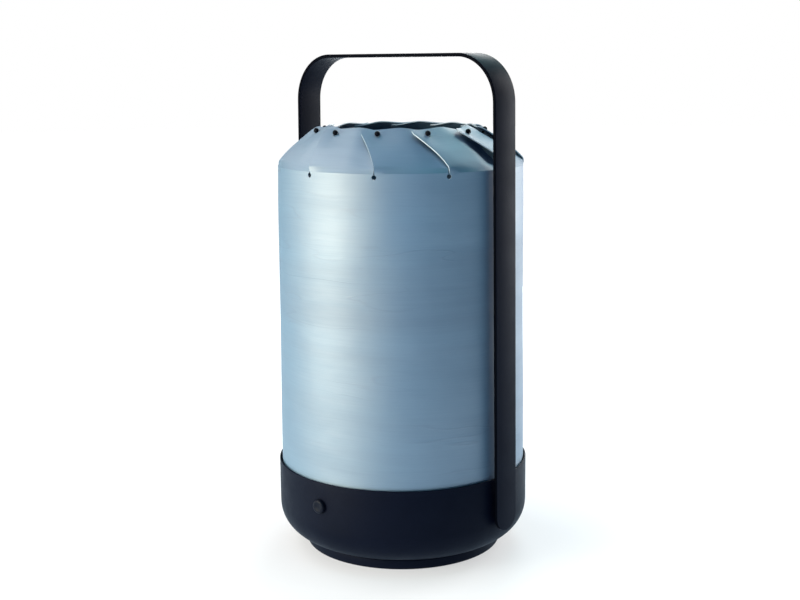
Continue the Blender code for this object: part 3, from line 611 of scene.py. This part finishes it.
def petal_end(across):
    """Length of a petal at a column, shortened round its left corner."""
    inset = across + HALF_PETAL
    if inset < PETAL_CORNER:
        return PETAL_LENGTH - PETAL_CORNER + math.sqrt(PETAL_CORNER ** 2 - (PETAL_CORNER - inset) ** 2)
    return PETAL_LENGTH


def sheet_ripple(angle, z):
    """Unevenness of the rolled sheet, in millimetres: soft waves, and the lap of its outer end."""
    hold = ease((z - CUP_RIM_Z) / 40.0) * ease((CREASE_Z - z) / 25.0)
    wave = mnoise.noise(Vector((2.2 * math.cos(angle), 2.2 * math.sin(angle), z / 90.0)))
    before_seam = (math.radians(SEAM_ANGLE) - angle) * SHADE_RADIUS
    lap = ease((LAP_WIDTH - before_seam) / LAP_WIDTH) if 0.0 < before_seam < LAP_WIDTH else 0.0
    return 0.35 * hold * wave + SHEET * lap * ease((BODY_TOP_Z - z) / 14.0)


def body_radius(angle, z):
    """Radius of the rolled sheet below the slits, in millimetres."""
    share = (z - SHADE_LOW_Z) / (BODY_TOP_Z - SHADE_LOW_Z)
    return SHADE_LOW_RADIUS + (SHADE_RADIUS - SHADE_LOW_RADIUS) * share + sheet_ripple(angle, z)


def petal_columns(count):
    """Places across a petal, a little closer together where its edges curl most."""
    columns = []
    for index in range(count + 1):
        share = index / count
        crowded = share + 0.6 * share ** 2 * (1 - share) - 0.12 * share * (1 - share)
        columns.append(HALF_PETAL * (2 * crowded - 1))
    return columns


def shade_surface():
    """The sheet's middle surface: one rolled body, and the petals that grow out of its top edge."""
    row_count = 30
    body_rows = 26
    columns = petal_columns(34)
    bm = bmesh.new()
    layer = bm.verts.layers.float_vector.new("sheet_at")

    def vertex(spot, angle, height):
        vert = bm.verts.new(spot * MM)
        vert[layer] = Vector((SHADE_RADIUS * math.cos(angle), SHADE_RADIUS * math.sin(angle), height)) * MM
        return vert

    levels = [[] for _ in range(body_rows + 1)]
    petals = []
    for petal in range(PETALS):
        centre = math.radians(FIRST_SLIT + (petal + 0.5) * 360.0 / PETALS)
        strips = []
        for across in columns:
            angle = centre + across / SHADE_RADIUS
            for row, level in enumerate(levels):
                z = SHADE_LOW_Z + (BODY_TOP_Z - SHADE_LOW_Z) * row / body_rows
                radius = body_radius(angle, z)
                spot = Vector((radius * math.cos(angle), radius * math.sin(angle), z))
                level.append(vertex(spot, angle, z))
            strip = [levels[-1][-1]]
            end = petal_end(across)
            strip.append(vertex(petal_point(petal, 0.0, across), angle, CREASE_Z))
            for row in range(row_count + 1):
                share = (row / row_count) ** 1.1
                reach = FOLD_BAND + (end - FOLD_BAND) * share
                strip.append(vertex(petal_point(petal, reach, across), angle, CREASE_Z + reach))
            strips.append(strip)
        petals.append(strips)
    count = len(levels[0])
    for low, high in zip(levels, levels[1:]):
        for index in range(count):
            after = (index + 1) % count
            bm.faces.new((low[index], low[after], high[after], high[index]))
    for strips in petals:
        for left, right in zip(strips, strips[1:]):
            for index in range(len(left) - 1):
                bm.faces.new((left[index], right[index], right[index + 1], left[index + 1]))
    return mesh_object("veneer_shade", bm, (VENEER, VENEER_EDGE))


def build_shade():
    item = shade_surface()
    shell = item.modifiers.new("sheet", "SOLIDIFY")
    shell.thickness = SHEET * MM
    shell.offset = 0.0
    shell.material_offset_rim = 1
    apply_modifiers(item)
    drills = bmesh.new()
    for petal in range(PETALS):
        angle = FIRST_SLIT + petal * 360.0 / PETALS
        add_drill(drills, outward(angle, SLIT_DRILL_RADIUS, SLIT_HOLE_Z), SLIT_HOLE_RADIUS, 8.0)
        spot, axis = rivet_frame(petal)
        turn = axis.to_track_quat("Z", "Y").to_matrix().to_4x4()
        add_drill(drills, Matrix.Translation((spot - axis * 0.75) * MM) @ turn, RIVET_HOLE, 6.5)
    cut(item, mesh_object("drills", drills, (VENEER_EDGE,)))
    restore_sheet_at(item)
    place(item, Matrix.Identity(4), nodes=("shade",), angle=15.0)


def restore_sheet_at(item):
    """Work out each low corner's place on the uncut sheet afresh, because the drills left some wrong."""
    sheet_spots = item.data.attributes["sheet_at"].data
    for vert, sheet_spot in zip(item.data.vertices, sheet_spots):
        if vert.co.z < CREASE_Z * MM:
            outwards = Vector((vert.co.x, vert.co.y)).normalized() * SHADE_RADIUS * MM
            sheet_spot.vector = (outwards.x, outwards.y, vert.co.z)


def add_drill(bm, matrix, radius, length):
    bmesh.ops.create_cone(bm, cap_ends=True, segments=24, radius1=radius * MM, radius2=radius * MM,
                          depth=length * MM, matrix=matrix)


def rivet_frame(petal):
    """Place on the upper sheet and outward direction for the rivet at a petal's left corner."""
    target = math.radians(FIRST_SLIT + petal * 360.0 / PETALS + RIVET_OFFSET)
    best = None
    for index in range(200):
        across = -HALF_PETAL + 2 * HALF_PETAL * index / 200
        spot = petal_point(petal, RIVET_REACH, across)
        miss = abs(math.remainder(math.atan2(spot.y, spot.x) - target, math.tau))
        if best is None or miss < best[0]:
            best = (miss, across, spot)
    _, across, spot = best
    up = petal_point(petal, RIVET_REACH + 1.0, across) - petal_point(petal, RIVET_REACH - 1.0, across)
    right = petal_point(petal, RIVET_REACH, across + 1.0) - petal_point(petal, RIVET_REACH, across - 1.0)
    return spot, right.cross(up).normalized()


def build_rivets():
    seat = SHEET / 2 + 0.15
    tail = -(2.0 + SHEET / 2)
    head = [(0.0, seat + 2.35)]
    head += arc(0.0, seat + 0.78, 1.57, 80.0, -10.0, 8)
    head += [(1.25, seat + 0.1), (1.2, seat), (0.75, seat), (0.75, tail), (1.45, tail), (1.55, tail - 0.15)]
    head += [(1.5, tail - 0.45), (1.2, tail - 0.62), (0.0, tail - 0.62)]
    for petal in range(PETALS):
        spot, axis = rivet_frame(petal)
        name = f"rivet_{petal + 1:02d}"
        item = lathe(f"{name}_dome", head, 28, RIVET_PAINT)
        turn = axis.to_track_quat("Z", "Y").to_matrix().to_4x4()
        place(item, Matrix.Translation(spot * MM) @ turn, nodes=(name,), angle=50.0)


def build_seam():
    """The lap strip that joins the rolled sheet's two ends, glued on its inner side at the back."""
    bm = bmesh.new()
    layer = bm.verts.layers.float_vector.new("sheet_at")
    low_z = 58.0
    high_z = 224.0
    rows = 30
    columns = 6
    grid = []
    for row in range(rows + 1):
        z = low_z + (high_z - low_z) * row / rows
        line = []
        for column in range(columns + 1):
            angle = math.radians(SEAM_ANGLE) + (column / columns + 0.02) * LAP_WIDTH / SHADE_RADIUS
            radius = body_radius(angle, z) - SHEET
            vert = bm.verts.new(Vector((radius * math.cos(angle), radius * math.sin(angle), z)) * MM)
            vert[layer] = vert.co.copy()
            line.append(vert)
        grid.append(line)
    for low, high in zip(grid, grid[1:]):
        for index in range(columns):
            bm.faces.new((low[index], low[index + 1], high[index + 1], high[index]))
    item = mesh_object("shade_seam_strip", bm, (VENEER, VENEER_EDGE))
    shell = item.modifiers.new("strip", "SOLIDIFY")
    shell.thickness = 0.5 * MM
    shell.offset = 0.0
    shell.material_offset_rim = 1
    place(item, Matrix.Identity(4))


# ---------------------------------------------------------------- metalwork

def build_cup():
    corner_x = CUP_RADIUS - CUP_CORNER
    corner_z = CUP_FLOOR_Z + CUP_CORNER
    inner = CUP_RADIUS - CUP_WALL
    profile = [(0.0, CUP_FLOOR_Z + CUP_WALL)]
    profile += arc(corner_x, corner_z, CUP_CORNER - CUP_WALL, -90.0, 0.0, 24)
    profile += [(inner, CUP_RIM_Z - 0.40)]
    profile += arc((inner + CUP_RADIUS) / 2, CUP_RIM_Z - 0.45, 0.45, 180.0, 0.0, 8)
    profile += arc(corner_x, corner_z, CUP_CORNER, 0.0, -90.0, 28)
    profile += [(0.0, CUP_FLOOR_Z)]
    cup = lathe("spun_cup", profile, 240, POWDER)
    holes = bmesh.new()
    add_drill(holes, outward(BUTTON_ANGLE, WALL_DRILL_RADIUS, BUTTON_Z), 4.3, 10.0)
    for side in (0.0, 180.0):
        for height in STUD_HEIGHTS:
            add_drill(holes, outward(side, WALL_DRILL_RADIUS, height), STUD_RADIUS + 0.4, 10.0)
    cut(cup, mesh_object("cup_drills", holes))
    slot = extrude_outline("port_slot", stadium(13.2, 7.4), 10.0, POWDER)
    slot.matrix_world = outward(PORT_ANGLE, CUP_RADIUS, PORT_Z)
    cut(cup, slot)
    place(cup, Matrix.Identity(4), nodes=("base_cup",), angle=40.0)


def build_foot():
    recess_z = PAD_TOP + 0.3
    recess = PAD_RADIUS + 0.5
    corners = [(0.0, FOOT_TOP), (FOOT_RADIUS, FOOT_TOP), (FOOT_RADIUS, FOOT_BOTTOM), (recess, FOOT_BOTTOM),
               (recess, recess_z), (0.0, recess_z)]
    profile = fillet(corners, (0, 0.7, 0.55, 0.3, 0, 0), 5)
    place(lathe("foot_disc", profile, 200, POWDER), Matrix.Identity(4), nodes=("foot_plate",))
    pad = [(0.0, PAD_TOP), (PAD_RADIUS, PAD_TOP), (PAD_RADIUS, 0.5), (PAD_RADIUS - 0.5, 0.0)]
    groove = 50.0
    while groove > 26.0:
        pad += [(groove, 0.0), (groove - 0.5, 0.35), (groove - 1.3, 0.35), (groove - 1.8, 0.0)]
        groove -= 6.0
    pad += [(0.0, 0.0)]
    place(lathe("ribbed_foot_pad", pad, 160, RUBBER), Matrix.Identity(4), nodes=("foot_pad",),
          angle=25.0)


def strap_lean(z):
    """How far a leg stands out at a height, beyond the straight drop from its bend."""
    return STRAP_SPLAY * (STRAP_CORNER_Z - z) / (STRAP_CORNER_Z - STRAP_LOW + 1.0)


def strap_path():
    """Stations along the strap's middle line: x, z and heading in degrees, from one low end to the other."""
    middle = STRAP_HALF_SPAN - STRAP_GAUGE / 2
    bend = STRAP_BEND - STRAP_GAUGE / 2
    corner_z = STRAP_CORNER_Z
    half = STRAP_WIDTH / 2
    stations = []
    for index in range(13):
        z = STRAP_LOW + half * (1 - math.cos(math.radians(90.0 * index / 12)))
        stations.append((middle + strap_lean(z), z, 90.0))
    for index in range(1, 24):
        z = STRAP_LOW + half + (corner_z - STRAP_LOW - half) * index / 24
        stations.append((middle + strap_lean(z), z, 90.0))
    for index in range(25):
        angle = 90.0 * index / 24
        x, z = arc(middle - bend, corner_z, bend, angle, angle, 1)[0]
        stations.append((x, z, 90.0 + angle))
    for index in range(1, 12):
        x = (middle - bend) * (1 - index / 12)
        stations.append((x, STRAP_TOP - STRAP_GAUGE / 2, 180.0))
    mirrored = [(-x, z, 360.0 - heading) for x, z, heading in reversed(stations)]
    return stations + [(0.0, STRAP_TOP - STRAP_GAUGE / 2, 180.0)] + mirrored


def build_strap():
    half = STRAP_WIDTH / 2
    edge = 0.45
    bm = bmesh.new()
    rings = []
    for x, z, heading in strap_path():
        reach = z - STRAP_LOW
        width = half
        if reach < half:
            width = math.sqrt(max(half ** 2 - (half - reach) ** 2, 0.0))
        width = max(width, edge * 1.05)
        corners = [(-width, -STRAP_GAUGE / 2), (width, -STRAP_GAUGE / 2), (width, STRAP_GAUGE / 2),
                   (-width, STRAP_GAUGE / 2)]
        section = fillet(corners, (edge,) * 4, 3, closed=True)
        angle = math.radians(heading)
        normal = Vector((math.sin(angle), 0.0, -math.cos(angle)))
        middle = Vector((x, 0.0, z))
        if reach < edge:
            middle.z += edge * 0.2
        rings.append([bm.verts.new((middle + normal * depth + Vector((0.0, side, 0.0))) * MM)
                      for side, depth in section])
    count = len(rings[0])
    for low, high in zip(rings, rings[1:]):
        for index in range(count):
            after = (index + 1) % count
            bm.faces.new((low[index], low[after], high[after], high[index]))
    bm.faces.new(rings[0])
    bm.faces.new(rings[-1])
    item = mesh_object("bent_strap", bm, (POWDER, STRAP_SIDE_SHADE))
    # Faces that look along the strap's width, its side edges, take the darker coat of painted shade.
    for face in item.data.polygons:
        face.material_index = int(abs(face.normal.y) > 0.6)
    for side in (0.0, 180.0):
        for height in STUD_HEIGHTS:
            root = strap_lean(height) + STRAP_GAUGE * 0.45
            outline = [(0.0, root), (STUD_SHOULDER, root), (STUD_SHOULDER, 0.0), (STUD_RADIUS, 0.0),
                       (STUD_RADIUS, 0.4 - STUD_REACH), (STUD_RADIUS - 0.4, -STUD_REACH),
                       (0.0, -STUD_REACH)]
            stud = lathe("stud", outline, 24, STEEL)
            stud.matrix_world = outward(side, STRAP_HALF_SPAN - STRAP_GAUGE, height)
            cut(item, stud, "UNION")
    place(item, Matrix.Identity(4), nodes=("handle_strap",), angle=50.0)


def build_button():
    axis = outward(BUTTON_ANGLE, CUP_RADIUS, BUTTON_Z)
    proud = 2.3
    front = -CUP_WALL - 0.3
    cap = [(0.0, proud - 0.22)]
    cap += arc(0.0, proud - 0.22 + 11.0, 11.0, -86.0, -76.0, 6)
    cap += arc(3.1, proud - 0.9, 0.9, 80.0, 0.0, 8)
    cap += [(4.0, front), (4.7, front), (4.7, front - 1.0), (1.5, front - 1.0), (1.5, -8.6), (0.0, -8.6)]
    item = lathe("button_cap", cap, 64, BUTTON_PLASTIC)
    place(item, axis, "button", ("push_button",))
    guide = fillet([(5.0, -1.6), (5.6, -1.6), (5.6, -6.3), (5.0, -6.3)], (0.15,) * 4, 3, closed=True)
    place(lathe("guide_sleeve", guide, 48, MOULDED, ring=True), axis, nodes=("button_guide",))
    coil = []
    turns = 3.0
    for index in range(73):
        angle = math.tau * turns * index / 72
        coil.append((3.3 * math.cos(angle), 3.3 * math.sin(angle), -5.95 + 3.15 * index / 72))
    spring = tube("coil_spring", coil, 0.25, STEEL, axis)
    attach(spring, BODY)
    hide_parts("button_spring")
    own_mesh(spring)
    plunger = fillet([(0.0, -8.9), (1.2, -8.9), (1.2, -13.6), (0.0, -13.6)], (0, 0.2, 0.1, 0), 4)
    place(lathe("switch_tip", plunger, 32, PLUNGER), axis, "plunger", ("switch_plunger",))


def tube(name, points, radius, mat, matrix=None):
    """A round wire as a mesh, with closed ends."""
    curve = bpy.data.curves.new(name, "CURVE")
    curve.dimensions = "3D"
    curve.bevel_depth = radius * MM
    curve.bevel_resolution = 4
    curve.use_fill_caps = True
    spline = curve.splines.new("POLY")
    spline.points.add(len(points) - 1)
    for point, spot in zip(spline.points, points):
        point.co = (*(value * MM for value in spot), 1.0)
    item = bpy.data.objects.new(name, curve)
    bpy.context.scene.collection.objects.link(item)
    if matrix:
        item.matrix_world = matrix
    bpy.context.view_layer.update()
    graph = bpy.context.evaluated_depsgraph_get()
    mesh = bpy.data.meshes.new_from_object(item.evaluated_get(graph))
    mesh.materials.clear()
    mesh.materials.append(mat)
    world = item.matrix_world.copy()
    bpy.data.objects.remove(item, do_unlink=True)
    result = bpy.data.objects.new(name, mesh)
    bpy.context.scene.collection.objects.link(result)
    result.matrix_world = world
    result.data.shade_smooth()
    return result


# ---------------------------------------------------------------- inside

def build_light_engine():
    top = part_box("inner_deck")[1].z / MM
    deck_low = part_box("inner_deck")[0].z / MM
    deck_top = deck_low + 1.6
    deck_radius = 73.4
    corners = [(4.0, deck_top), (70.4, deck_top), (70.4, top), (71.9, top), (71.9, deck_top),
               (deck_radius, deck_top), (deck_radius, deck_low), (4.0, deck_low)]
    profile = fillet(corners, (0.3, 0.5, 0.4, 0.4, 0.2, 0.4, 0.4, 0.3), 4, closed=True)
    deck = lathe("deck_tray", profile, 200, MOULDED, ring=True)
    holes = bmesh.new()
    for angle in DECK_SCREW_ANGLES:
        add_drill(holes, at(*polar(DECK_SCREW_CIRCLE, angle, deck_low)), 1.8, 8.0)
    cut(deck, mesh_object("deck_drills", holes))
    place(deck, Matrix.Identity(4), nodes=("inner_deck",))

    ring_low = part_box("diffuser_ring")[0].z / MM
    corners = [(40.2, 54.0), (42.0, 54.0), (42.0, ring_low + 1.2), (42.4, ring_low + 1.2), (42.4, ring_low),
               (36.6, ring_low), (36.6, ring_low + 1.2), (40.2, ring_low + 1.2)]
    profile = fillet(corners, (0.4, 0.4, 0.1, 0.15, 0.1, 0.1, 0.1, 0.2), 4, closed=True)
    place(lathe("retaining_ring", profile, 140, MOULDED, ring=True), Matrix.Identity(4),
          nodes=("diffuser_ring",))

    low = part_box("diffuser")[0].z / MM
    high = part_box("diffuser")[1].z / MM
    outer = 39.8
    inner = outer - 1.8
    dome = 14.0
    shell = [(0.0, high)] + arc(outer - dome, high - dome, dome, 90.0, 0.0, 16)
    shell += [(outer, low), (inner, low)]
    shell += arc(outer - dome, high - dome, dome - 1.8, 0.0, 90.0, 16) + [(0.0, high - 1.8)]
    place(lathe("opal_diffuser", shell, 140, OPAL), Matrix.Identity(4), nodes=("diffuser",))

    head = [(0.0, 0.7), (1.2, 0.7), (1.35, 1.9)]
    head += arc(1.9, 0.8, 1.1, 90.0, 0.0, 6) + [(3.0, 0.0), (1.5, 0.0)]
    turns = []
    for index in range(12):
        turns += [(1.5, -0.3 - 0.7 * index), (1.25, -0.65 - 0.7 * index)]
    head += turns + [(0.8, -9.0), (0.0, -9.0)]
    for index, angle in enumerate(DECK_SCREW_ANGLES, 1):
        name = f"deck_screw_{index}"
        item = lathe(f"{name}_fine", head, 36, STEEL)
        seat = at(*polar(DECK_SCREW_CIRCLE, angle, deck_top + 0.3))
        place(item, seat, nodes=(name,), angle=50.0)


def build_port():
    gasket_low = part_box("usb_gasket")[0]
    gasket_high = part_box("usb_gasket")[1]
    depth = (gasket_high.y - gasket_low.y) / MM
    outer = extrude_outline("port_gasket", stadium(12.6, 6.8), depth, RUBBER, 0.25)
    outer.matrix_world = outward(PORT_ANGLE, (gasket_low.y + gasket_high.y) / 2 / MM, PORT_Z)
    apply_modifiers(outer)
    hole = extrude_outline("gasket_hole", stadium(9.9, 4.1), depth + 4.0, RUBBER)
    hole.matrix_world = outer.matrix_world.copy()
    cut(outer, hole)
    place(outer, outer.matrix_world.copy(), nodes=("usb_gasket",))


def finish_cad_nodes():
    """Give every CAD node that stays visible its finish."""
    looks = {
        "foot_screw": STEEL, "deck_standoff": STEEL, "backing_plate": STEEL, "handle_nut": STEEL,
        "switch_bracket": STEEL, "bracket_screw": STEEL, "battery_strap": STEEL, "battery_screw": STEEL,
        "switch_body": MOULDED, "board_spacer": MOULDED, "battery_cradle": MOULDED,
        "control_board": GREEN_BOARD, "led_board": WHITE_BOARD, "led_chip": PHOSPHOR,
        "heat_spreader": ALUMINIUM, "usb_port": PORT_METAL, "battery_cell": CELL_WRAP,
        "battery_lead": LEAD_RED, "led_lead": LEAD_BLACK,
    }
    for name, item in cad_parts.items():
        for prefix, mat in looks.items():
            if name.startswith(prefix):
                item.data.materials.clear()
                item.data.materials.append(mat)


# ---------------------------------------------------------------- studio

CAMERA_DISTANCE = 752.9
CAMERA_HEIGHT = 288.3
CAMERA_PITCH = 10.594
CAMERA_ROLL = -0.45
CAMERA_YAW = 0.075
LENS = 57.458


def build_camera():
    data = bpy.data.cameras.new("camera")
    data.lens = LENS
    data.sensor_width = 36.0
    data.clip_start = 0.01
    data.clip_end = 50.0
    camera = bpy.data.objects.new("camera", data)
    bpy.context.scene.collection.objects.link(camera)
    turn = Matrix.Rotation(math.radians(VIEW_ANGLE + 90.0 + CAMERA_YAW), 4, "Z")
    tilt = Matrix.Rotation(math.radians(90.0 - CAMERA_PITCH), 4, "X")
    roll = Matrix.Rotation(math.radians(CAMERA_ROLL), 4, "Z")
    camera.matrix_world = at(*polar(CAMERA_DISTANCE, VIEW_ANGLE, CAMERA_HEIGHT)) @ turn @ tilt @ roll
    bpy.context.scene.camera = camera


def soft_light(name, bearing, distance, height, size, power, aim_z=130.0, colour=(1.0, 1.0, 1.0)):
    """An area light at a bearing from the camera's side, positive to the camera's right."""
    data = bpy.data.lights.new(name, "AREA")
    data.shape = "RECTANGLE"
    data.size = size[0] * MM
    data.size_y = size[1] * MM
    data.energy = power
    data.color = colour
    light = bpy.data.objects.new(name, data)
    bpy.context.scene.collection.objects.link(light)
    spot = Vector(polar(distance, VIEW_ANGLE + bearing, height)) * MM
    aim = Vector((0.0, 0.0, aim_z * MM))
    turn = (aim - spot).to_track_quat("-Z", "Y").to_matrix().to_4x4()
    light.matrix_world = Matrix.Translation(spot) @ turn
    return light


def build_world():
    """White wherever the camera looks past the part, and hardly any light on the part."""
    world = bpy.data.worlds.new("studio")
    world.use_nodes = True
    tree = world.node_tree
    tree.nodes.clear()

    lighting = tree.nodes.new("ShaderNodeBackground")
    lighting.inputs["Color"].default_value = (0.93, 0.97, 1.0, 1.0)
    lighting.inputs["Strength"].default_value = WORLD_LIGHT

    seen = tree.nodes.new("ShaderNodeBackground")
    seen.inputs["Color"].default_value = (1.0, 1.0, 1.0, 1.0)
    rays = tree.nodes.new("ShaderNodeLightPath")
    mixed = tree.nodes.new("ShaderNodeMixShader")
    tree.links.new(rays.outputs["Is Camera Ray"], mixed.inputs["Fac"])
    tree.links.new(lighting.outputs[0], mixed.inputs[1])
    tree.links.new(seen.outputs[0], mixed.inputs[2])
    output = tree.nodes.new("ShaderNodeOutputWorld")
    tree.links.new(mixed.outputs[0], output.inputs["Surface"])
    bpy.context.scene.world = world


def build_studio():
    bm = bmesh.new()
    bmesh.ops.create_circle(bm, cap_ends=True, segments=96, radius=5.0)
    ground = mesh_object("floor", bm, (FLOOR,))
    build_world()
    low = (340.0, 700.0)
    tall = (340.0, 1000.0)
    wide = (600.0, 600.0)
    warm = (1.0, 0.975, 0.80)
    soft_light("key_left", -82.0, 850.0, 140.0, low, 3.1, 120.0, warm)
    soft_light("key_middle", -66.0, 850.0, 140.0, low, 6.5, 120.0, warm)
    soft_light("key_right", -50.0, 850.0, 140.0, low, 4.6, 120.0, warm)
    soft_light("front_fill", 0.0, 850.0, 280.0, tall, 0.85, 150.0, (0.1, 0.35, 1.0))
    soft_light("side_right", 120.0, 850.0, 280.0, tall, 9.6, 150.0)
    soft_light("rim_right", 170.0, 850.0, 280.0, tall, 8.4, 150.0)
    soft_light("high_left", -120.0, 700.0, 1000.0, wide, 5.2, 200.0)
    soft_light("high_key", -70.0, 700.0, 1000.0, wide, 3.2, 200.0, (0.95, 1.0, 0.98))
    soft_light("high_right", 50.0, 700.0, 1000.0, wide, 1.0, 200.0, (0.2, 1.0, 0.9))
    soft_light("high_back", 150.0, 700.0, 1000.0, wide, 3.2, 200.0, (0.5, 0.95, 1.0))
    soft_light("overhead", 0.0, 10.0, 1400.0, (900.0, 900.0), 3.4, 100.0, (0.3, 0.58, 1.0))
    bpy.context.scene.view_settings.view_transform = "Standard"


build_camera()
build_shade()
build_seam()
build_rivets()
build_cup()
build_foot()
build_strap()
build_button()
build_light_engine()
build_port()
finish_cad_nodes()
build_studio()
